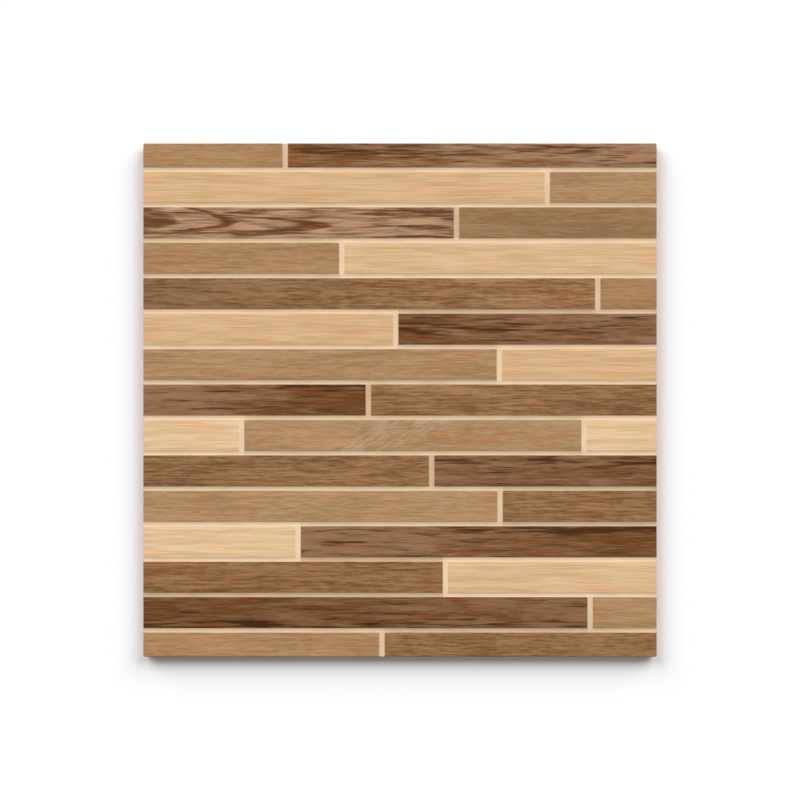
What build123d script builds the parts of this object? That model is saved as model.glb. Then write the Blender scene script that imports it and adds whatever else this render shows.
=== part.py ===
"""Pressed ceramic floor tile with a wood-strip face and a keyed back.

The tile is one dry-pressed, glazed and fired piece. It lies on its back with the glazed face up.
Its face is a mosaic of long wood-look strips, laid in staggered rows and parted by shallow pressed
joints. The back has a rim and a grid of ribs, raised between shallow pockets, to key into adhesive.

Units are millimetres. +X runs along the strips, +Y to the top row and +Z up out of the face. The
origin is at the centre of the back, on the plane of the ribs.
"""

import math
import os

from build123d import *

# Blank: the plain pressed tile
SIDE = 300.0  # across the face, edge to edge
THICKNESS = 8.0  # from the rib plane to the face
CORNER_RADIUS = 1.0  # upright corners, seen from above
FACE_ARRIS = 0.7  # rounding of the face's outer edge
EDGE_LAND = 3.5  # upright part of each edge, from the face down
EDGE_INSET = 0.5  # how far each edge slopes in below the land, down to the back

# Face: rows of strips and the joints between them
ROW_PITCH = 20.7  # joint centre to joint centre, with the middle row on the tile's centre line
JOINT_MOUTH = 2.6  # width of a joint at the face
JOINT_FLOOR = 1.6  # width of a joint at its bottom
JOINT_DEPTH = 0.25
BUTT_JOINTS = (  # each row's end joints from the left edge to the joint's centre, top row first
    (83.0,),
    (236.0,),
    (183.0,),
    (116.0,),
    (265.5,),
    (147.5,),
    (208.0,),
    (131.5,),
    (57.5, 257.5),
    (168.5,),
    (208.5,),
    (90.5,),
    (176.5,),
    (261.0,),
    (139.5,),
)

# Back: pockets that leave a rim and a grid of ribs
POCKETS_ACROSS = 12  # pockets in each row and each column
RIM_WIDTH = 7.5  # flat width round the pockets
RIB_WIDTH = 4.0  # flat width between two pockets
RIB_HEIGHT = 1.0  # how far rim and ribs stand above the pocket floors
POCKET_CORNER = 2.5  # chamfer at the corners of a pocket's mouth
POCKET_DRAFT = 30.0  # degrees: slope of a pocket's walls

# How far a cutter runs past the surface that it cuts
CUT_OVERRUN = 1.0


def tile_blank():
    """The plain tile: a rounded arris round the face, an upright land, and edges that slope in below it."""
    blank = extrude(RectangleRounded(SIDE, SIDE, CORNER_RADIUS), THICKNESS)
    face = blank.faces().sort_by(Axis.Z).last
    blank = fillet(face.edges(), FACE_ARRIS)
    back = blank.faces().sort_by(Axis.Z).first
    return chamfer(back.edges(), EDGE_INSET, THICKNESS - EDGE_LAND, reference=back)


def joint_bar(length):
    """A cutter with the joint's section, along X, with the middle of its mouth at the origin."""
    wall_run = (JOINT_MOUTH - JOINT_FLOOR) / 2 / JOINT_DEPTH
    half_top = JOINT_MOUTH / 2 + CUT_OVERRUN * wall_run
    half_floor = JOINT_FLOOR / 2
    section = Polyline(
        (-half_floor, -JOINT_DEPTH),
        (half_floor, -JOINT_DEPTH),
        (half_top, CUT_OVERRUN),
        (-half_top, CUT_OVERRUN),
        close=True,
    )
    return extrude(Plane.YZ * make_face(section), length / 2, both=True)


def face_joints():
    """Cutters for the joints between rows, edge to edge, and for the butt joints inside each row."""
    rows_each_side = math.ceil(SIDE / 2 / ROW_PITCH - 0.5)
    face_plane = Pos(0, 0, THICKNESS)
    row_joint = joint_bar(SIDE + 2 * CUT_OVERRUN)
    butt_joint = Rot(0, 0, 90) * joint_bar(ROW_PITCH)
    cutters = []
    for step in range(rows_each_side):
        joint_y = (step + 0.5) * ROW_PITCH
        cutters += [face_plane * Pos(0, y, 0) * row_joint for y in (joint_y, -joint_y)]
    for row in range(2 * rows_each_side + 1):
        row_y = (rows_each_side - row) * ROW_PITCH
        for from_left in BUTT_JOINTS[row % len(BUTT_JOINTS)]:
            cutters.append(face_plane * Pos(from_left - SIDE / 2, row_y, 0) * butt_joint)
    return cutters


def back_pockets():
    """Cutters for the square pockets, which share out the back inside its rim."""
    inside_rim = SIDE - 2 * (EDGE_INSET + RIM_WIDTH)
    pitch = (inside_rim + RIB_WIDTH) / POCKETS_ACROSS
    mouth = pitch - RIB_WIDTH
    outline = chamfer(Rectangle(mouth, mouth).vertices(), POCKET_CORNER)
    pocket = extrude(outline, RIB_HEIGHT, taper=POCKET_DRAFT)
    return [place * pocket for place in GridLocations(pitch, pitch, POCKETS_ACROSS, POCKETS_ACROSS)]


def floor_tile():
    """The whole tile: the blank with its face joints and back pockets pressed in."""
    return tile_blank() - face_joints() - back_pockets()


os.makedirs("parts", exist_ok=True)
export_step(floor_tile(), "parts/floor_tile.step")
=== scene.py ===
"""Looks of a glazed ceramic floor tile whose face imitates staggered wood strips.

The file is laid out as an add-on: property groups hold the sizes and finishes, one operator makes the
tile, one makes the stage, and a panel in the sidebar lists them. Lengths are metres in the frame of the
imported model: +X along the strips, +Y to the top row, +Z up out of the face, origin at the centre of the
back.
"""

import math
from types import SimpleNamespace

import bmesh
import bpy
import numpy as np
from bpy.props import FloatProperty, FloatVectorProperty, IntProperty, PointerProperty
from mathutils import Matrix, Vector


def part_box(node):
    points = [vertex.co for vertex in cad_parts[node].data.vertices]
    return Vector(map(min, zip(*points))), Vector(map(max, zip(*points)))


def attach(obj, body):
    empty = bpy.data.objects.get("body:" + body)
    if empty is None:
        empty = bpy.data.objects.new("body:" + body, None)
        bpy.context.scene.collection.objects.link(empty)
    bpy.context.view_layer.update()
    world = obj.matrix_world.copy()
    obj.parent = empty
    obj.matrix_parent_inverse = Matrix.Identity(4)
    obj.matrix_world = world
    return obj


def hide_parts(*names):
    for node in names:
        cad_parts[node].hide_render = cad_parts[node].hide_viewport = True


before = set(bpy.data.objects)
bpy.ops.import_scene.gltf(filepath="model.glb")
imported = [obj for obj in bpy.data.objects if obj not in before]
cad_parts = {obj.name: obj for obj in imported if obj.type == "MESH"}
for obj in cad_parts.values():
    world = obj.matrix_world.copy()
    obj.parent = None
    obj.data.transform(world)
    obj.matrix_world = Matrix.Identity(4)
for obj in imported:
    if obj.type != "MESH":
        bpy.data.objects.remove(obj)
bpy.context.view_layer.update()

bl_info = {
    "name": "Wood-strip floor tile",
    "version": (1, 0, 0),
    "blender": (4, 5, 0),
    "location": "3D View > Sidebar > Floor tile",
    "description": "Makes a glazed ceramic floor tile with a wood-strip face, and a plain stage for it",
    "category": "Add Mesh",
}

MM = 0.001
LOW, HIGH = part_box("floor_tile")
SIDE = HIGH.x - LOW.x
HALF = SIDE / 2
FACE_Z = HIGH.z

# Each row of strips, top row first: a wood, the joint at its right end in millimetres from the tile's left
# edge, the next wood, and so on. A wood's name may start with a tone.
STRIP_ROWS = (
    ("oak", 83.0, "light walnut"),
    ("deep maple", 236.0, "grey oak"),
    ("figured walnut", 183.0, "dark oak"),
    ("oak", 116.0, "maple"),
    ("brown oak", 265.5, "warm oak"),
    ("deep maple", 147.5, "walnut"),
    ("grey oak", 208.0, "deep maple"),
    ("walnut", 131.5, "brown oak"),
    ("pale maple", 57.5, "grey flecked oak", 257.5, "pale maple"),
    ("brown oak", 168.5, "walnut"),
    ("grey oak", 208.5, "brown oak"),
    ("pale maple", 90.5, "walnut"),
    ("deep brown oak", 176.5, "maple"),
    ("deepest walnut", 261.0, "grey oak"),
    ("oak", 139.5, "brown oak"),
)
MIDDLE_ROW = len(STRIP_ROWS) // 2

# The woods, each with the tint that its ink gives to the cream joints beside it
WOODS = {
    "maple": (0.98, 0.97, 0.97),
    "oak": (0.86, 0.85, 0.85),
    "flecked oak": (0.86, 0.85, 0.85),
    "brown oak": (0.73, 0.70, 0.69),
    "walnut": (0.71, 0.67, 0.66),
    "figured walnut": (0.71, 0.67, 0.66),
}

# Painted light: how much paler the cream is painted in an end joint, standing in for the light that the row
# joints catch on their lit walls
BUTT_PAINTED_LIGHT = 1.09

# Tones of single strips: how much of a wood's red, green and blue they keep
TONES = {
    "light": (1.30, 1.40, 1.55),
    "pale": (1.08, 1.11, 1.18),
    "deep": (0.96, 0.92, 0.89),
    "deepest": (0.87, 0.82, 0.76),
    "grey": (1.03, 1.07, 1.13),
    "warm": (0.96, 0.91, 0.88),
    "dark": (0.80, 0.81, 0.82),
}
PLAIN_TONE = (1.0, 1.0, 1.0)

# How far a strip's tone may stray at random
TONE_STRAY = 0.015
TONE_SEED = 3

# Dark heartwood in the walnut strips, by row: millimetres above the strip's centre line, and the end that
# is darkest, from -1 for the left to 1 for the right
HEARTWOOD = {
    1: (0.0, -0.55),
    6: (0.0, -0.4),
    8: (8.5, 1.0),
    10: (5.0, 0.2),
    12: (7.5, 1.0),
    14: (-7.0, -0.4),
}
PLAIN_HEART = (0.0, 0.0)

# Rows whose first strip gets lighter from left to right, and by what share of its tone
FADES = {5: 0.42, 10: 0.15}

# Dark arches in the figured strip: tip in millimetres from the left edge, sharpness above and below the
# axis, length of the body that fades back from the tip, strength
ARCHES = (
    (20.5, 0.34, 0.6, 50.0, 0.7),
    (20.5, 0.34, 0.6, 7.0, 0.9),
    (55.0, 0.33, 1.3, 14.0, 0.95),
    (113.0, 2.6, 1.9, 38.0, 0.75),
)

# Dark streaks in the figured strip, in millimetres: middle from the left edge, middle above the centre
# line, half length, half width; then the strength
STREAKS = (
    (0.0, 6.5, 16.0, 3.0, 0.6),
    (62.0, 6.0, 19.0, 2.8, 0.65),
    (117.0, 7.0, 30.0, 1.8, 0.55),
    (158.0, 6.0, 40.0, 3.4, 0.8),
    (184.0, 4.0, 17.0, 3.8, 0.9),
    (162.0, -3.0, 17.0, 1.9, 0.9),
    (28.0, -5.0, 12.0, 1.2, 0.8),
    (74.0, -6.2, 28.0, 1.3, 0.7),
    (172.0, -8.0, 40.0, 1.3, 0.8),
)

# Slope of the ray flecks in the flecked strip
FLECK_SLOPE = math.radians(30)

# How far apart the noises of two neighbouring strips lie
STRIP_SEED_STEP = 5.3

# Heights in millimetres between which one finish gives way to the next: print to cream on the arris, glaze
# to bare body on the edges, and wash to bare body on the ribs
PRINT_FOOT = (FACE_Z / MM - 0.68, FACE_Z / MM - 0.45)
GLAZE_FOOT = (FACE_Z / MM - 1.5, FACE_Z / MM - 1.2)
WASH_TOP = (0.05, 0.35)

# Height of the bump of the printed face and of the bare body
GRAIN_RELIEF = 0.03 * MM
BODY_RELIEF = 0.12 * MM

# Lengths of the waves in the glaze, along and across the strips
WAVE_LENGTHS = (70 * MM, 9 * MM)
WAVE_SEED = 7

# Largest steps of the face's mesh, along and across the strips
FACE_STEPS = (5 * MM, 2.8 * MM)

# Points of the rounded arris, and of the slope below the land, with both ends
ARRIS_POINTS = 7
SLOPE_POINTS = 5

# Section of a pocket's wall from lip to foot: how far in, in widths of the wall, and how high, in heights
# of a rib
POCKET_SECTION = ((-0.5, 0.0), (0.0, 0.08), (0.5, 0.5), (1.0, 0.92), (1.6, 1.0))

# Points closer than this are merged, and edges sharper than this are shaded as creases
MERGE_DISTANCE = 0.002 * MM
CREASE_ANGLE = math.radians(50)

# Slots of the tile's materials: the bare body, then the woods in their order
BODY_SLOT = 0
FIRST_WOOD_SLOT = 1

# Map for textures: its margin, the sides of the face's and the back's squares, and the edges' bands
MAP_MARGIN = 0.01
MAP_FACE = 0.7
MAP_BACK = 0.27
MAP_BANDS = 0.74
MAP_BAND_PITCH = 0.06
MAP_BAND_WIDTH = 0.04


def colour(red, green, blue):
    """A colour written in 8-bit screen levels, as the linear values that shaders take."""
    level = np.array([red, green, blue]) / 255
    return tuple(np.where(level <= 0.04045, level / 12.92, ((level + 0.055) / 1.055) ** 2.4).tolist())


def tinted(base, red, green, blue):
    """A colour times three numbers."""
    return (base[0] * red, base[1] * green, base[2] * blue)


def number(name, default, description, **limits):
    return FloatProperty(name=name, default=default, description=description, **limits)


def length(name, default, description):
    return number(name, default, description, min=0.0, precision=5, unit="LENGTH")


def angle(name, degrees, description):
    return number(name, math.radians(degrees), description, subtype="ANGLE")


def finish_colour(name, default, description):
    return FloatVectorProperty(
        name=name, default=default, description=description, size=3, min=0.0, max=1.0, subtype="COLOR"
    )


class TileSizes(bpy.types.PropertyGroup):
    """The tile's sizes that its box doesn't give."""

    row_pitch: length("Row pitch", 20.7 * MM, "From one joint between rows to the next")
    joint_mouth: length("Joint mouth", 2.6 * MM, "Width of a joint at the face")
    joint_depth: length("Joint depth", 0.25 * MM, "How far a joint lies under the face")
    joint_softness: length("Joint softness", 1.0 * MM, "Width of the rounded wall on each side of a joint")
    butt_margin: length("End joint margin", 0.3 * MM, "How far an end joint's cream runs past its walls")
    glaze_wave: length("Glaze wave", 0.012 * MM, "Height of the slow waves in the fired glaze")
    corner_radius: length("Corner radius", 1.0 * MM, "Upright corners, seen from above")
    face_arris: length("Face arris", 0.7 * MM, "Rounding of the face's outer edge")
    edge_land: length("Edge land", 3.5 * MM, "Upright part of each edge, from the face down")
    edge_inset: length("Edge inset", 0.5 * MM, "How far each edge slopes in below the land")
    back_arris: length("Back arris", 0.25 * MM, "Rounding where an edge meets the back")
    pockets_across: IntProperty(name="Pockets across", default=12, min=1, description="Pockets in a row")
    rim_width: length("Rim width", 7.5 * MM, "Flat width round the pockets")
    rib_width: length("Rib width", 4.0 * MM, "Flat width between two pockets")
    rib_height: length("Rib height", 1.0 * MM, "How far rim and ribs stand above the pocket floors")
    pocket_corner: length("Pocket corner", 2.5 * MM, "Corner radius at a pocket's mouth")
    pocket_wall: length("Pocket wall", 0.58 * MM, "How far a pocket's wall slopes in")


class TileFinish(bpy.types.PropertyGroup):
    """The colours of the printed woods, the glaze and the fired body."""

    maple: finish_colour("Maple", colour(219, 186, 146), "Ground of the palest strips")
    maple_line: finish_colour("Maple lines", colour(193, 154, 108), "Fine lines in the palest strips")
    oak: finish_colour("Oak", colour(176, 138, 100), "Ground of the tan strips")
    oak_line: finish_colour("Oak lines", colour(134, 95, 57), "Fine lines in the tan strips")
    fleck: finish_colour("Oak fleck", colour(192, 166, 134), "Slanting pale flecks in one tan strip")
    brown_oak: finish_colour("Brown oak", colour(158, 120, 84), "Ground of the mid-brown strips")
    brown_oak_line: finish_colour("Brown oak lines", colour(96, 59, 24), "Lines in the mid-brown strips")
    walnut_pale: finish_colour("Pale walnut", colour(145, 109, 80), "Pale ground of the dark strips")
    walnut: finish_colour("Walnut", colour(103, 66, 31), "Deep ground of the dark strips")
    walnut_red: finish_colour("Walnut red", colour(116, 62, 28), "Reddish streaks in the dark strips")
    walnut_streak: finish_colour("Walnut streaks", colour(64, 33, 6), "Dark streaks in the dark strips")
    figure_pale: finish_colour("Pale figure", colour(182, 145, 116), "Between the figured strip's arches")
    figure_dark: finish_colour("Dark figure", colour(112, 68, 34), "Arches of the figured strip")
    joint: finish_colour("Joint glaze", colour(223, 195, 163), "Cream glaze in the joints")
    biscuit: finish_colour("Biscuit", colour(172, 126, 94), "Unglazed fired body")
    kiln_wash: finish_colour("Kiln wash", colour(206, 192, 174), "White wash on the ribs")


class StageLook(bpy.types.PropertyGroup):
    """Floor, light and camera."""

    floor: finish_colour("Floor", (0.93, 0.93, 0.93), "Plain pale floor")
    floor_reach: length("Floor reach", 10.0, "From the floor's middle to its sides")
    key_strength: number("Key strength", 2.47, "Each of two soft suns", min=0.0)
    key_height: angle("Key height", 32, "Suns above the horizon")
    key_turn: angle("Key turn", 42, "Suns left and right of the top")
    key_width: angle("Key width", 50, "How wide each sun looks")
    fill_strength: number("Fill strength", 0.26, "White sky", min=0.0)
    lens: number("Lens", 100.0, "Focal length", min=1.0, subtype="DISTANCE_CAMERA")
    tile_share: number("Tile share", 0.642, "Tile across the picture", min=0.1, max=1.0, subtype="FACTOR")


class Wire:
    """A node's output. Operators on wires and numbers add Math nodes to the same paint."""

    def __init__(self, paint, socket):
        self.paint = paint
        self.socket = socket

    def __add__(self, other):
        return self.paint.maths("ADD", self, other)

    def __radd__(self, other):
        return self.paint.maths("ADD", other, self)

    def __sub__(self, other):
        return self.paint.maths("SUBTRACT", self, other)

    def __rsub__(self, other):
        return self.paint.maths("SUBTRACT", other, self)

    def __mul__(self, other):
        return self.paint.maths("MULTIPLY", self, other)

    def __rmul__(self, other):
        return self.paint.maths("MULTIPLY", other, self)

    def __truediv__(self, other):
        return self.paint.maths("DIVIDE", self, other)

    def __abs__(self):
        return self.paint.maths("ABSOLUTE", self)


class Paint:
    """A new material, whose nodes come from expressions on wires."""

    def __init__(self, name):
        self.material = bpy.data.materials.new(name)
        self.material.use_nodes = True
        self.tree = self.material.node_tree
        self.tree.nodes.clear()

    def node(self, kind, settings=None, inputs=None, output=0):
        """Adds a node with its settings and its inputs' values or links, and returns one output."""
        node = self.tree.nodes.new(kind)
        for name, value in (settings or {}).items():
            setattr(node, name, value)
        for name, value in (inputs or {}).items():
            if isinstance(value, Wire):
                self.tree.links.new(value.socket, node.inputs[name])
            else:
                node.inputs[name].default_value = value
        return Wire(self, node.outputs[output]) if node.outputs else None

    def maths(self, operation, *values):
        return self.node("ShaderNodeMath", {"operation": operation}, dict(enumerate(values)))

    def ramp(self, value, low, high):
        """0 up to low and 1 from high on, with a smooth step between them."""
        settings = {"interpolation_type": "SMOOTHSTEP"}
        inputs = {"Value": value, "From Min": low, "From Max": high}
        return self.node("ShaderNodeMapRange", settings, inputs)

    def place(self, x, y, z):
        return self.node("ShaderNodeCombineXYZ", inputs={"X": x, "Y": y, "Z": z})

    def parts(self, vector):
        """The three numbers in a vector wire."""
        split = self.node("ShaderNodeSeparateXYZ", inputs={"Vector": vector}).socket.node
        return [Wire(self, socket) for socket in split.outputs]

    def noise(self, place, detail=2.0, roughness=0.5, distortion=0.0):
        inputs = {"Vector": place, "Scale": 1.0, "Detail": detail}
        inputs |= {"Roughness": roughness, "Distortion": distortion}
        return self.node("ShaderNodeTexNoise", inputs=inputs)

    def mix(self, first, second, share):
        """A colour between two colours, each a wire or three numbers."""
        pair = [value if isinstance(value, Wire) else (*value, 1.0) for value in (first, second)]
        inputs = {0: share, 6: pair[0], 7: pair[1]}
        return self.node("ShaderNodeMix", {"data_type": "RGBA"}, inputs, output=2)

    def tint(self, wire, by):
        """A colour wire times three numbers, or times another colour or vector wire."""
        return self.node("ShaderNodeVectorMath", {"operation": "MULTIPLY"}, {0: wire, 1: by})

    def attribute(self, name, output="Fac"):
        return self.node("ShaderNodeAttribute", {"attribute_name": name}, output=output)

    def principled(self, inputs):
        """Ends the material with a principled shader."""
        shader = self.node("ShaderNodeBsdfPrincipled", inputs=inputs)
        self.node("ShaderNodeOutputMaterial", inputs={"Surface": shader})
        return self.material

    def surface(self, base, rough, height, depth, specular):
        """Ends the material with a shader whose normal is bumped. Height times depth is in metres."""
        bump = {"Height": height, "Distance": depth, "Strength": 1.0}
        inputs = {"Base Color": base, "Roughness": rough, "Specular IOR Level": specular}
        inputs["Normal"] = self.node("ShaderNodeBump", inputs=bump)
        return self.principled(inputs)


def strip_places(paint):
    """Where a point lies, in millimetres: x, y and z, and how far from its strip's left end and centre
    line. The strip's seed for noise comes with it."""
    x, y, z = paint.parts(paint.node("ShaderNodeTexCoord", output="Object"))
    from_left, from_axis, _ = paint.parts(paint.node("ShaderNodeUVMap", {"uv_map": "strip_place"}))
    return SimpleNamespace(
        x=x / MM,
        y=y / MM,
        z=z / MM,
        from_left=from_left / MM,
        from_axis=from_axis / MM,
        seed=paint.attribute("strip") * STRIP_SEED_STEP,
    )


def fibres(paint, at, along, across, shift=0.0, **how):
    """Noise drawn out along the strips, in grains about as long and wide as two sizes in millimetres."""
    return paint.noise(paint.place(at.x / along, at.y / across, at.seed + shift), **how)


def blushed(paint, at, wood):
    """A wood with slow patches, some pinker and some greener, longer than they are wide."""
    patch = fibres(paint, at, 22.0, 7.0, shift=4.0, detail=1.0)
    wood = paint.mix(wood, paint.tint(wood, (1.05, 0.96, 0.89)), paint.ramp(patch, 0.50, 0.72))
    return paint.mix(paint.tint(wood, (0.97, 1.00, 0.90)), wood, paint.ramp(patch, 0.28, 0.48))


def glazed_print(paint, at, finish, wood, relief):
    """The matt glaze over a printed wood: cream in the joints and at the foot of the arris, fine relief."""
    wander = paint.noise(paint.place(at.x / 1.5, at.y / 1.5, at.z), detail=1.0)
    joint = paint.ramp(paint.attribute("sunk") * (0.7 + 0.6 * wander), 0.13, 0.30)
    bare_arris = 1.0 - paint.ramp(at.z + 0.2 * (wander - 0.5), *PRINT_FOOT)
    cloud = paint.noise(paint.place(at.x / 18.0, at.y / 18.0, 1.0), detail=2.0)
    cream = paint.mix(tinted(finish.joint, 0.92, 0.90, 0.87), finish.joint, paint.ramp(cloud, 0.3, 0.6))
    cream = paint.tint(cream, paint.attribute("cream", output="Vector"))
    shaded = paint.tint(wood, paint.attribute("shade", output="Vector"))
    base = paint.mix(shaded, cream, paint.maths("MAXIMUM", joint, bare_arris))
    peel = paint.noise(paint.place(at.x / 0.9, at.y / 0.9, at.z / 0.9), detail=2.0)
    rough = 0.46 + 0.10 * relief + 0.06 * peel + 0.06 * joint
    height = relief * (1.0 - joint) + 0.35 * peel
    return paint.surface(base, rough, height, GRAIN_RELIEF, specular=0.12)


def maple_print(finish):
    """Pale maple: thin broken lines and slow warm and cool patches, all faint."""
    paint = Paint("maple_print")
    at = strip_places(paint)
    line = fibres(paint, at, 20.0, 0.7, detail=3.0)
    band = fibres(paint, at, 50.0, 2.8, shift=2.0, detail=2.0)
    grain = paint.ramp(0.55 * line + 0.45 * band, 0.38, 0.64)
    wood = blushed(paint, at, paint.mix(finish.maple, finish.maple_line, 0.7 * grain))
    return glazed_print(paint, at, finish, wood, 1.0 - grain)


def oak_wood(paint, at, ground, dark, strength):
    """Oak: broken lines, short dashes, broader bands, short dark pores, and pinker and greener patches."""
    line = fibres(paint, at, 18.0, 0.75, detail=3.0)
    dash = fibres(paint, at, 7.0, 1.1, shift=12.0, detail=2.0)
    band = fibres(paint, at, 42.0, 2.6, shift=2.0, detail=3.0)
    slow = fibres(paint, at, 70.0, 14.0, shift=8.0, detail=1.0)
    pore = fibres(paint, at, 4.5, 0.35, shift=6.0, detail=1.0)
    grain = paint.ramp(0.35 * line + 0.30 * dash + 0.22 * band + 0.13 * slow, 0.39, 0.62)
    pores = paint.ramp(pore, 0.60, 0.72)
    wood = paint.mix(ground, dark, strength * grain)
    wood = paint.mix(wood, dark, 0.25 * pores)
    relief = (1.0 - 0.6 * grain) * (1.0 - pores)
    return blushed(paint, at, wood), relief


def oak_print(finish):
    """Tan oak."""
    paint = Paint("oak_print")
    at = strip_places(paint)
    wood, relief = oak_wood(paint, at, finish.oak, finish.oak_line, 0.62)
    return glazed_print(paint, at, finish, wood, relief)


def flecked_oak_print(finish):
    """Tan oak with ray flecks, some pale and some dark, that climb to the right in a slanting stretch.
    Right of it, the wood is greyer above and has warm spots along its middle."""
    paint = Paint("flecked_oak_print")
    at = strip_places(paint)
    wood, relief = oak_wood(paint, at, finish.oak, finish.oak_line, 0.58)
    climb = at.x * math.cos(FLECK_SLOPE) + at.y * math.sin(FLECK_SLOPE)
    cross = at.y * math.cos(FLECK_SLOPE) - at.x * math.sin(FLECK_SLOPE)
    fleck = paint.noise(paint.place(climb / 12.0, cross / 2.6, at.seed), detail=1.0, distortion=0.3)
    spot = fibres(paint, at, 16.0, 4.5, shift=15.0, detail=1.0)
    flecked = 1.0 - paint.ramp(abs(at.from_left - 84.0 - 2.0 * at.from_axis), 8.0, 34.0)
    grey = paint.ramp(at.from_left, 40.0, 90.0) * paint.ramp(at.from_axis, -3.0, 8.0)
    warm = paint.ramp(spot, 0.46, 0.64) * (1.0 - paint.ramp(abs(at.from_axis), 2.0, 7.0))
    warm = warm * (0.3 + 0.7 * paint.ramp(at.from_left, 60.0, 100.0))
    wood = paint.mix(wood, paint.tint(wood, (1.03, 0.88, 0.72)), warm)
    wood = paint.mix(wood, paint.tint(wood, (0.97, 1.04, 1.14)), grey)
    wood = paint.mix(wood, finish.fleck, 0.38 * flecked * paint.ramp(fleck, 0.42, 0.68))
    wood = paint.mix(wood, finish.oak_line, 0.34 * flecked * (1.0 - paint.ramp(fleck, 0.32, 0.46)))
    return glazed_print(paint, at, finish, wood, relief)


def brown_oak_print(finish):
    """Mid-brown oak, with stronger lines than the tan."""
    paint = Paint("brown_oak_print")
    at = strip_places(paint)
    wood, relief = oak_wood(paint, at, finish.brown_oak, finish.brown_oak_line, 0.78)
    return glazed_print(paint, at, finish, wood, relief)


def walnut_print(finish):
    """Dark walnut: its ground deepens and reddens towards one end, and its broken streaks gather there in
    a band of heartwood."""
    paint = Paint("walnut_print")
    at = strip_places(paint)
    centre, end, span = paint.parts(paint.attribute("heart", output="Vector"))
    side = paint.ramp(0.5 + end * (at.from_left / span - 0.5), 0.0, 1.0)
    heart = side * (1.0 - paint.ramp(abs(at.from_axis - centre), 0.8, 4.4))
    line = fibres(paint, at, 16.0, 0.7, shift=3.0, detail=3.0)
    dash = fibres(paint, at, 7.0, 1.1, shift=12.0, detail=2.0)
    streak = fibres(paint, at, 24.0, 1.5, detail=2.0, distortion=0.3)
    band = fibres(paint, at, 46.0, 4.0, shift=6.0, detail=2.0)
    red = fibres(paint, at, 26.0, 3.0, shift=9.0, detail=2.0)
    deep = paint.ramp(0.45 * band + 0.3 * line + 0.25 * dash + 0.24 * (side - 0.5), 0.35, 0.65)
    dark = paint.ramp(0.75 * streak + 0.25 * band + 0.18 * heart, 0.54, 0.69)
    wood = paint.mix(finish.walnut_pale, finish.walnut, deep)
    wood = paint.mix(wood, finish.walnut_red, 0.6 * paint.ramp(red + 0.09 * side, 0.52, 0.72))
    wood = paint.mix(wood, finish.walnut_streak, 0.85 * dark)
    wood = paint.mix(wood, finish.walnut_pale, 0.45 * (1.0 - dark) * (1.0 - paint.ramp(line, 0.32, 0.46)))
    return glazed_print(paint, at, finish, blushed(paint, at, wood), 1.0 - 0.7 * dark)


def figured_walnut_print(finish):
    """Walnut cut through its rings: dark arches that point right, along an axis that sinks slowly to the
    right, and dark streaks beside them.

    An arch is where x plus y squared times its sharpness is less than its tip, in millimetres from the
    strip's left end and from the axis. Its sharpness differs above and below the axis. It is darkest along
    its outer edge and fades over its body, back to the left. A streak is an ellipse that fades outwards
    from its middle. Noise sways them all, and fine lines break them up.
    """
    paint = Paint("figured_walnut_print")
    at = strip_places(paint)
    sway = fibres(paint, at, 22.0, 3.5, shift=1.0, detail=3.0) - 0.5
    fray = fibres(paint, at, 7.0, 1.1, shift=12.0, detail=2.0) - 0.5
    line = fibres(paint, at, 20.0, 1.2, shift=3.0, detail=2.0)
    fine = fibres(paint, at, 30.0, 1.6, shift=5.0, detail=3.0)
    off_axis = at.from_axis - 1.0 + 0.024 * at.from_left + 2.0 * sway + 0.5 * fray
    over = paint.maths("GREATER_THAN", off_axis, 0.0)
    dark = 0.55 * paint.ramp(fine, 0.52, 0.70)
    for tip, sharp_above, sharp_below, body, strength in ARCHES:
        sharpness = sharp_below + (sharp_above - sharp_below) * over
        inside = tip - at.from_left - sharpness * off_axis * off_axis + 6.0 * sway + 5.0 * fray
        arch = paint.ramp(inside, -5.0, 7.0) * (1.0 - paint.ramp(inside, 0.35 * body, body))
        dark = paint.maths("MAXIMUM", dark, strength * arch)
    for from_left, above, half_length, half_width, strength in STREAKS:
        along = (at.from_left - from_left + 14.0 * sway) / half_length
        across = (at.from_axis - above + 3.0 * sway) / half_width
        outward = along * along + across * across + 1.6 * fray
        dark = paint.maths("MAXIMUM", dark, strength * (1.0 - paint.ramp(outward, -0.4, 1.7)))
    dark = dark * (0.62 + 0.5 * paint.ramp(line, 0.34, 0.62))
    wood = paint.mix(finish.figure_pale, finish.walnut, 0.62 * paint.ramp(line, 0.34, 0.66))
    wood = paint.mix(wood, finish.figure_dark, 0.8 * paint.ramp(dark, 0.1, 0.6))
    wood = paint.mix(wood, finish.walnut_streak, 0.6 * paint.ramp(dark, 0.3, 1.0))
    return glazed_print(paint, at, finish, blushed(paint, at, wood), 1.0 - 0.7 * dark)


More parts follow.
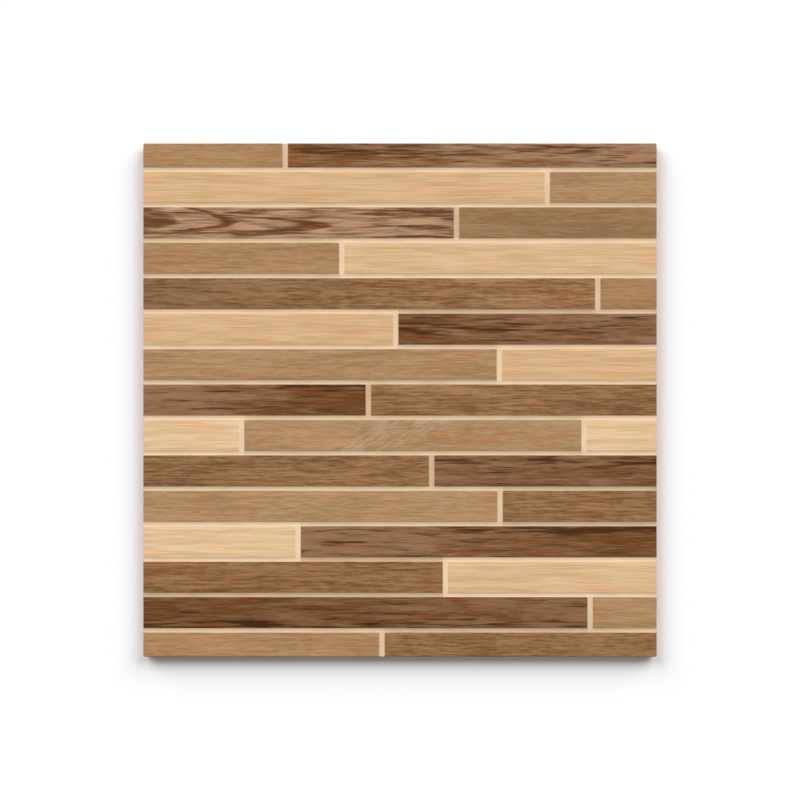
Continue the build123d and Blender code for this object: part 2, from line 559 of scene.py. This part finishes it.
def biscuit_body(finish):
    """Unglazed fired clay: speckled buff, runs of cream glaze at the top of the edges, wash on the ribs."""
    paint = Paint("biscuit_body")
    x, y, z = (part / MM for part in paint.parts(paint.node("ShaderNodeTexCoord", output="Object")))
    speckle = paint.noise(paint.place(x / 0.8, y / 0.8, z / 0.8), detail=3.0, roughness=0.7)
    cloud = paint.noise(paint.place(x / 35.0, y / 35.0, z / 8.0), detail=3.0)
    scuff = paint.noise(paint.place(x / 6.0, y / 6.0, z), detail=4.0, roughness=0.65)
    run = paint.noise(paint.place(x / 4.0, y / 4.0, 0.0), detail=2.0)
    body = paint.mix(finish.biscuit, tinted(finish.biscuit, 0.84, 0.78, 0.72), cloud)
    body = paint.mix(body, paint.tint(body, (0.72, 0.66, 0.60)), 0.7 * paint.ramp(speckle, 0.58, 0.70))
    washed = (1.0 - paint.ramp(z, *WASH_TOP)) * paint.ramp(scuff, 0.38, 0.62)
    body = paint.mix(body, finish.kiln_wash, 0.75 * washed)
    glaze = paint.ramp(z + 1.6 * (run - 0.5), *GLAZE_FOOT)
    body = paint.mix(body, finish.joint, glaze)
    rough = 0.88 - 0.38 * glaze + 0.06 * speckle
    height = (0.6 * speckle + 0.4 * scuff) * (1.0 - 0.8 * glaze)
    return paint.surface(body, rough, height, BODY_RELIEF, specular=0.25)


# The material of each wood
PRINTS = {
    "maple": maple_print,
    "oak": oak_print,
    "flecked oak": flecked_oak_print,
    "brown oak": brown_oak_print,
    "walnut": walnut_print,
    "figured walnut": figured_walnut_print,
}


def tone_and_wood(name):
    """Parts a strip's name into its tone and its wood."""
    first, _, rest = name.partition(" ")
    return (TONES[first], rest) if first in TONES else (PLAIN_TONE, name)


def strip_table():
    """The rows and strips as arrays.

    For every row: its joints in metres, filled up with joints at infinity, and the number of its first
    strip. For every strip: its left end and length in metres, the wood's number, its tone, the tint of the
    cream beside it, its fade, and its heartwood for the walnut's shader, which is the place, the end and
    the strip's length in millimetres.
    """
    most = max(len(row) // 2 for row in STRIP_ROWS)
    names = ("joints", "first", "start", "length", "wood", "tone", "cream", "fade", "heart")
    table = SimpleNamespace(**{name: [] for name in names})
    for row_number, row in enumerate(STRIP_ROWS, start=1):
        places = [place * MM - HALF for place in row[1::2]]
        table.joints.append(places + [math.inf] * (most - len(places)))
        table.first.append(len(table.start))
        ends = [-HALF, *places, HALF]
        for name, start, stop in zip(row[0::2], ends[:-1], ends[1:]):
            tone, wood = tone_and_wood(name)
            heart = HEARTWOOD.get(row_number, PLAIN_HEART)
            table.start.append(start)
            table.length.append(stop - start)
            table.wood.append(list(WOODS).index(wood))
            table.tone.append(tone)
            table.cream.append(np.multiply(WOODS[wood], np.sqrt(np.minimum(tone, 1))))
            table.fade.append(FADES.get(row_number, 0.0) if start == -HALF else 0.0)
            table.heart.append((*heart, (stop - start) / MM))
    return SimpleNamespace(**{name: np.array(values) for name, values in vars(table).items()})


def row_of(y, pitch):
    """The row that a point lies in, counted from the top row, with the middle row on the X axis."""
    return np.clip(MIDDLE_ROW - np.rint(y / pitch), 0, len(STRIP_ROWS) - 1).astype(int)


def strip_of(x, y, pitch, table):
    """The strip that a point lies in: its row's first strip plus the joints to its left."""
    row = row_of(y, pitch)
    return table.first[row] + (x[..., None] > table.joints[row]).sum(axis=-1)


def smooth_step(value, low, high):
    share = np.clip((value - low) / (high - low), 0, 1)
    return share * share * (3 - 2 * share)


def joint_wall(sizes):
    """How far the middle of a joint's wall is from the joint's centre line, and half the wall's width."""
    return sizes.joint_mouth / 2 - sizes.joint_softness / 4, sizes.joint_softness / 2


def to_end_joint(x, y, sizes, table):
    """How far a point is from the nearest end joint in its row."""
    return np.abs(x[..., None] - table.joints[row_of(y, sizes.row_pitch)]).min(axis=-1)


def groove(x, y, sizes, table, butt_margin=0.0):
    """How deep in a joint a point lies, from 0 on a strip to 1 on a joint's floor: a smooth step of the
    distance to the nearest joint, which is between two rows or, wider by a margin, at the end of a
    strip."""
    to_row = np.abs(y / sizes.row_pitch - np.floor(y / sizes.row_pitch) - 0.5) * sizes.row_pitch
    to_joint = np.minimum(to_row, to_end_joint(x, y, sizes, table) - butt_margin)
    middle, reach = joint_wall(sizes)
    return 1 - smooth_step(to_joint, middle - reach, middle + reach)


def cream_tint(x, y, sizes, table):
    """The tint of the cream at a point: the palest of those at the corners of a joint-wide square round
    it. In an end joint it is painted paler still, as painted light that stands in for the light the row
    joints catch on their lit walls."""
    reach = sizes.joint_mouth / 2
    corners = [(x + right * reach, y + up * reach) for right in (-1, 1) for up in (-1, 1)]
    tints = [table.cream[strip_of(*corner, sizes.row_pitch, table)] for corner in corners]
    in_butt = to_end_joint(x, y, sizes, table) < sizes.joint_mouth
    # painted light: end joints get paler cream to match the lit walls of the row joints
    return np.max(tints, axis=0) * np.where(in_butt, BUTT_PAINTED_LIGHT, 1.0)[:, None]


def face_height(x, y, sizes, table):
    """Height of the face: its level, less the joints, less slow waves in the glaze, whose phases differ
    from strip to strip."""
    depth = groove(x, y, sizes, table)
    phases = np.random.default_rng(WAVE_SEED).uniform(0, math.tau, (len(table.wood), 2))
    phase = phases[strip_of(x, y, sizes.row_pitch, table)]
    along = np.sin(math.tau * x / WAVE_LENGTHS[0] + phase[..., 0])
    across = np.sin(math.tau * y / WAVE_LENGTHS[1] + phase[..., 1])
    return FACE_Z - sizes.joint_depth * depth - sizes.glaze_wave * (2 + along + across) * (1 - depth)


def spread(stops, step):
    """The stops with even lines added, so that no two neighbours are further apart than the step."""
    counts = np.ceil(np.diff(stops) / step).astype(int)
    runs = [np.linspace(a, b, n, endpoint=False) for a, b, n in zip(stops[:-1], stops[1:], counts)]
    return np.concatenate([*runs, stops[-1:]])


def joint_lines(centres, edge, sizes, step, margin=0.0):
    """Grid lines from edge to edge: on and beside each joint, past its walls by a margin, and evenly spread
    between the joints."""
    middle, reach = joint_wall(sizes)
    walls = middle + np.array([-reach, -0.35 * reach, 0.35 * reach, reach, reach + margin])
    beside = np.concatenate([-walls, [0.0], walls])
    lines = np.concatenate([(centres[:, None] + beside).ravel(), [-edge, edge]])
    lines = np.unique(np.round(lines[np.abs(lines) <= edge], 8))
    return spread(lines, step)


def grid_quads(down, across, closed=False):
    """The quads of a grid of points stored row by row. A closed grid's last column joins its first."""
    index = np.arange(down * across).reshape(down, across)
    right = np.roll(index, -1, axis=1)
    if not closed:
        index, right = index[:, :-1], right[:, :-1]
    return np.stack([index[:-1], right[:-1], right[1:], index[1:]], axis=-1).reshape(-1, 4)


def face_grid(sizes, table):
    """The face inside its rounded edge: height as a function of x and y, on lines gathered at joints."""
    edge = HALF - sizes.corner_radius
    rows = np.arange(1, len(STRIP_ROWS)) - len(STRIP_ROWS) / 2
    butts = table.joints[np.isfinite(table.joints)]
    x_lines = joint_lines(butts, edge, sizes, FACE_STEPS[0], sizes.butt_margin)
    y_lines = joint_lines(rows * sizes.row_pitch, edge, sizes, FACE_STEPS[1])
    x, y = np.meshgrid(x_lines, y_lines)
    return np.stack([x, y, face_height(x, y, sizes, table)], axis=-1)


def edge_sweep(face, sizes):
    """The edge's section carried round the face: a rounded arris, the land, the slope and a rounded back
    edge. The number of glazed bands at its top comes with it.

    Every boundary point of the face sends a ray straight out, and the four corners send a fan of rays. A
    point of the section goes out along its ray by its reach, and down to its height or to the joint that
    the ray starts in, whichever is lower.
    """
    sides = [face[0], face[:, -1], face[-1, ::-1], face[::-1, 0]]
    bend = np.linspace(0, math.pi / 2, ARRIS_POINTS)
    back_bend = bend[::3]
    fan = bend[1:-1]
    starts = []
    turns = []
    for quarter, side in enumerate(sides, start=-1):
        outward = quarter * math.pi / 2
        starts += [side, np.repeat(side[-1:], len(fan), axis=0)]
        turns += [np.full(len(side), outward), outward + fan]
    start = np.concatenate(starts)
    turn = np.concatenate(turns)
    flat = sizes.corner_radius - sizes.face_arris
    land = FACE_Z - sizes.edge_land
    foot = sizes.corner_radius - sizes.edge_inset
    reach = np.concatenate(
        [
            [0.0],
            flat + sizes.face_arris * np.sin(bend),
            [sizes.corner_radius] * 2,
            np.linspace(sizes.corner_radius, foot, SLOPE_POINTS)[1:-1],
            foot - sizes.back_arris * (1 - np.cos(back_bend)),
        ]
    )
    height = np.concatenate(
        [
            [FACE_Z],
            FACE_Z - sizes.face_arris * (1 - np.cos(bend)),
            [(FACE_Z - sizes.face_arris + land) / 2, land],
            np.linspace(land, sizes.back_arris, SLOPE_POINTS)[1:-1],
            sizes.back_arris * (1 - np.sin(back_bend)),
        ]
    )
    x = start[:, 0] + reach[:, None] * np.cos(turn)
    y = start[:, 1] + reach[:, None] * np.sin(turn)
    z = np.minimum(height[:, None], start[:, 2])
    return np.stack([x, y, z], axis=-1), len(bend)


def square_ring(half, radius, straight):
    """Points round a square, six a side from the right side's lower end on. With a radius, they follow its
    rounded corners. Without one, they lie on the sides, spread out towards the corners."""
    bend = np.radians([-45.0, -22.5, 0.0])
    core = half - radius
    if radius > 0:
        low = np.stack([core + radius * np.cos(bend), -core + radius * np.sin(bend)], axis=-1)
        high = np.stack([core + radius * np.cos(bend[1:]), core - radius * np.sin(bend[1:])], axis=-1)
        side = np.concatenate([low, [[half, 0.0]], high[::-1]])
    else:
        between = (half + straight) / 2
        spots = [-half, -between, -straight, 0.0, straight, between]
        side = np.array([(half, spot) for spot in spots])
    turns = [side @ np.array([[c, s], [-s, c]]) for c, s in ((1, 0), (0, 1), (-1, 0), (0, -1))]
    return np.concatenate(turns)


def back_cells(sizes):
    """The ribbed back inside its rim: one cell of rib and pocket, laid out in a square grid.

    A cell is a set of rings from its square outline in to its centre. A ring's height is a function of how
    far it lies inside the pocket's mouth: flat rib, rounded lip, sloping wall, rounded foot and flat floor.
    """
    inside_rim = SIDE - 2 * (sizes.edge_inset + sizes.rim_width)
    pitch = (inside_rim + sizes.rib_width) / sizes.pockets_across
    mouth = (pitch - sizes.rib_width) / 2
    straight = mouth - sizes.pocket_corner
    section = np.array(POCKET_SECTION)
    inset = sizes.pocket_wall * section[:, 0]
    level = sizes.rib_height * section[:, 1]
    outline = square_ring(pitch / 2, 0.0, straight)
    walls = [square_ring(mouth - d, sizes.pocket_corner - d, straight) for d in inset]
    ring = np.stack([outline, *walls, np.zeros_like(outline)])
    height = np.concatenate([[0.0], level, level[-1:]])
    ring_height = np.broadcast_to(height[:, None, None], (*ring.shape[:2], 1))
    cell = np.concatenate([ring, ring_height], axis=-1)
    centre = (np.arange(sizes.pockets_across) - (sizes.pockets_across - 1) / 2) * pitch
    x, y = np.meshgrid(centre, centre)
    shift = np.stack([x.ravel(), y.ravel(), np.zeros(x.size)], axis=-1)
    return shift[:, None, None, :] + cell


def tile_grids(sizes, table):
    """The face, the edge and the back: for each, its points, its quads and their material slots."""

    def print_slots(points, quads):
        middle = points[quads].mean(axis=1)
        strip = strip_of(middle[:, 0], middle[:, 1], sizes.row_pitch, table)
        return FIRST_WOOD_SLOT + table.wood[strip]

    face = face_grid(sizes, table)
    face_points = face.reshape(-1, 3)
    face_quads = grid_quads(*face.shape[:2])
    edge, glazed_bands = edge_sweep(face, sizes)
    edge_points = edge.reshape(-1, 3)
    edge_quads = grid_quads(*edge.shape[:2], closed=True)
    edge_slots = print_slots(edge_points, edge_quads)
    edge_slots[glazed_bands * edge.shape[1] :] = BODY_SLOT
    cells = back_cells(sizes)
    cell_quads = grid_quads(*cells.shape[1:3], closed=True)
    cell_size = cells.shape[1] * cells.shape[2]
    shifts = np.arange(len(cells))[:, None, None] * cell_size
    back_quads = (shifts + cell_quads).reshape(-1, 4)
    return [
        (face_points, face_quads, print_slots(face_points, face_quads)),
        (edge_points, edge_quads, edge_slots),
        (cells.reshape(-1, 3), back_quads, BODY_SLOT),
    ]


def closed_mesh(name, grids):
    """One closed mesh from grids of points: their seams are merged, and the back's flat rim is filled."""
    points = []
    quads = []
    slots = []
    count = 0
    for vertices, faces, slot in grids:
        points.append(vertices)
        quads.append(faces + count)
        slots.append(np.broadcast_to(slot, len(faces)))
        count += len(vertices)
    mesh = bpy.data.meshes.new(name)
    mesh.from_pydata(np.concatenate(points), [], np.concatenate(quads))
    mesh.polygons.foreach_set("material_index", np.concatenate(slots).astype(np.int32))
    form = bmesh.new()
    form.from_mesh(mesh)
    bmesh.ops.remove_doubles(form, verts=form.verts, dist=MERGE_DISTANCE)
    rim = [edge for edge in form.edges if edge.is_boundary]
    bmesh.ops.triangle_fill(form, edges=rim, use_beauty=True, normal=(0, 0, -1))
    bmesh.ops.recalc_face_normals(form, faces=form.faces)
    if any(not edge.is_manifold for edge in form.edges):
        raise RuntimeError("the tile's surface isn't closed")
    form.to_mesh(mesh)
    form.free()
    return mesh


def mesh_numbers(items, name, width, kind=np.float32):
    found = np.empty(len(items) * width, kind)
    items.foreach_get(name, found)
    return found.reshape(-1, width) if width > 1 else found


def face_corners(mesh):
    """The place of every corner of every face, and the number of the corner's face."""
    points = mesh_numbers(mesh.vertices, "co", 3)
    counts = mesh_numbers(mesh.polygons, "loop_total", 1, np.int32)
    corner = points[mesh_numbers(mesh.loops, "vertex_index", 1, np.int32)]
    return corner, np.repeat(np.arange(len(counts)), counts)


def mark(mesh, name, kind, domain, key, values):
    values = np.asarray(values, np.float32).ravel()
    mesh.attributes.new(name, kind, domain).data.foreach_set(key, values)


def add_map(mesh, name, u, v):
    values = np.stack([u, v], axis=-1).astype(np.float32).ravel()
    mesh.uv_layers.new(name=name).uv.foreach_set("vector", values)


def mark_strips(mesh, sizes, table):
    """Tells the materials where each face lies: its strip's number, tone and heartwood, how deep each point
    is in a joint and the tint of the cream there, and how far each corner is from the strip's left end and
    centre line."""
    points = mesh_numbers(mesh.vertices, "co", 3)
    centres = mesh_numbers(mesh.polygons, "center", 3)
    corner, face_of = face_corners(mesh)
    strip = strip_of(centres[:, 0], centres[:, 1], sizes.row_pitch, table)
    draw = np.random.default_rng(TONE_SEED)
    stray = draw.uniform(1 - TONE_STRAY, 1 + TONE_STRAY, (len(table.tone), 1))
    along = (centres[:, 0] - table.start[strip]) / table.length[strip] - 0.5
    shade = (table.tone * stray)[strip] * (1 + table.fade[strip] * along)[:, None]
    mark(mesh, "strip", "FLOAT", "FACE", "value", strip)
    mark(mesh, "shade", "FLOAT_VECTOR", "FACE", "vector", shade)
    mark(mesh, "heart", "FLOAT_VECTOR", "FACE", "vector", table.heart[strip])
    on_face = points[:, 2] > FACE_Z - sizes.edge_land
    depth = groove(points[:, 0], points[:, 1], sizes, table, sizes.butt_margin) * on_face
    cream = cream_tint(points[:, 0], points[:, 1], sizes, table)
    mark(mesh, "sunk", "FLOAT", "POINT", "value", depth)
    mark(mesh, "cream", "FLOAT_VECTOR", "POINT", "vector", cream)
    axis = (MIDDLE_ROW - row_of(centres[:, 1], sizes.row_pitch)) * sizes.row_pitch
    from_left = corner[:, 0] - table.start[strip][face_of]
    from_axis = corner[:, 1] - axis[face_of]
    add_map(mesh, "strip_place", from_left, from_axis)


def lay_out_map(mesh):
    """A map for textures: the face in a large square, the back in a small one, each edge in a band."""
    corner, face_of = face_corners(mesh)
    normal = mesh_numbers(mesh.polygons, "normal", 3)[face_of]
    share = corner[:, :2] / SIDE + 0.5
    height = corner[:, 2] / FACE_Z
    up = normal[:, 2] > 0.5
    down = normal[:, 2] < -0.5
    along_x = np.abs(normal[:, 1]) > np.abs(normal[:, 0])
    far = np.where(along_x, normal[:, 1], normal[:, 0]) > 0
    band = 2 * along_x + far
    face_uv = MAP_MARGIN + MAP_FACE * share
    back_u = 1 - MAP_MARGIN - MAP_BACK * share[:, 0]
    back_v = MAP_MARGIN + MAP_BACK * share[:, 1]
    edge_u = np.where(along_x, face_uv[:, 0], face_uv[:, 1])
    edge_v = MAP_BANDS + MAP_BAND_PITCH * band + MAP_BAND_WIDTH * height
    u = np.where(up, face_uv[:, 0], np.where(down, back_u, edge_u))
    v = np.where(up, face_uv[:, 1], np.where(down, back_v, edge_v))
    add_map(mesh, "OFBake", u, v)


def add_object(context, name, data):
    made = bpy.data.objects.new(name, data)
    context.scene.collection.objects.link(made)
    return made


class TILE_OT_floor_tile(bpy.types.Operator):
    """Makes the fired tile: its pressed face, edges and ribbed back, and its printed glaze"""

    bl_idname = "tile.floor_tile"
    bl_label = "Make the floor tile"

    def execute(self, context):
        sizes = context.scene.tile_sizes
        finish = context.scene.tile_finish
        table = strip_table()
        mesh = closed_mesh("wood_strip_tile", tile_grids(sizes, table))
        mark_strips(mesh, sizes, table)
        lay_out_map(mesh)
        mesh.polygons.foreach_set("use_smooth", np.ones(len(mesh.polygons), bool))
        mesh.set_sharp_from_angle(angle=CREASE_ANGLE)
        for make in (biscuit_body, *(PRINTS[wood] for wood in WOODS)):
            mesh.materials.append(make(finish))
        tile = add_object(context, "wood_strip_tile", mesh)
        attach(tile, "root")
        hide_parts("floor_tile")
        return {"FINISHED"}


class TILE_OT_stage(bpy.types.Operator):
    """Makes the pale floor, the soft light and the camera that looks straight down"""

    bl_idname = "tile.stage"
    bl_label = "Make the stage"

    def execute(self, context):
        look = context.scene.tile_stage
        reach = look.floor_reach
        corners = [(x * reach, y * reach, LOW.z) for x, y in ((-1, -1), (1, -1), (1, 1), (-1, 1))]
        mesh = bpy.data.meshes.new("floor")
        mesh.from_pydata(corners, [], [(0, 1, 2, 3)])
        floor_inputs = {"Base Color": (*look.floor, 1.0), "Roughness": 0.9, "Specular IOR Level": 0.0}
        mesh.materials.append(Paint("pale_floor").principled(floor_inputs))
        floor = add_object(context, "floor", mesh)

        for name, turn in (("left_key", look.key_turn), ("right_key", -look.key_turn)):
            sun = bpy.data.lights.new(name, "SUN")
            sun.energy = look.key_strength
            sun.angle = look.key_width
            key = add_object(context, name, sun)
            key.rotation_euler = (look.key_height - math.pi / 2, 0.0, turn)

        world = bpy.data.worlds.new("white_sky")
        world.use_nodes = True
        sky = world.node_tree.nodes["Background"]
        sky.inputs["Color"].default_value = (1.0, 1.0, 1.0, 1.0)
        sky.inputs["Strength"].default_value = look.fill_strength
        context.scene.world = world
        context.scene.view_settings.view_transform = "Standard"

        lens = bpy.data.cameras.new("camera")
        lens.lens = look.lens
        camera = add_object(context, "camera", lens)
        picture_width = SIDE / look.tile_share
        camera.location = (0.0, 0.0, FACE_Z + picture_width * look.lens / lens.sensor_width)
        context.scene.camera = camera
        return {"FINISHED"}


class TILE_PT_panel(bpy.types.Panel):
    """Lists the tile's sizes, finishes and operators"""

    bl_idname = "TILE_PT_panel"
    bl_label = "Floor tile"
    bl_space_type = "VIEW_3D"
    bl_region_type = "UI"
    bl_category = "Floor tile"

    def draw(self, context):
        for group in (context.scene.tile_sizes, context.scene.tile_finish, context.scene.tile_stage):
            box = self.layout.box()
            for name in group.__annotations__:
                box.prop(group, name)
        self.layout.operator(TILE_OT_floor_tile.bl_idname)
        self.layout.operator(TILE_OT_stage.bl_idname)


CLASSES = (TileSizes, TileFinish, StageLook, TILE_OT_floor_tile, TILE_OT_stage, TILE_PT_panel)


def register():
    for made in CLASSES:
        bpy.utils.register_class(made)
    bpy.types.Scene.tile_sizes = PointerProperty(type=TileSizes)
    bpy.types.Scene.tile_finish = PointerProperty(type=TileFinish)
    bpy.types.Scene.tile_stage = PointerProperty(type=StageLook)


def unregister():
    del bpy.types.Scene.tile_stage
    del bpy.types.Scene.tile_finish
    del bpy.types.Scene.tile_sizes
    for made in reversed(CLASSES):
        bpy.utils.unregister_class(made)


def main():
    register()
    bpy.ops.tile.floor_tile()
    bpy.ops.tile.stage()


if __name__ == "__main__":
    main()
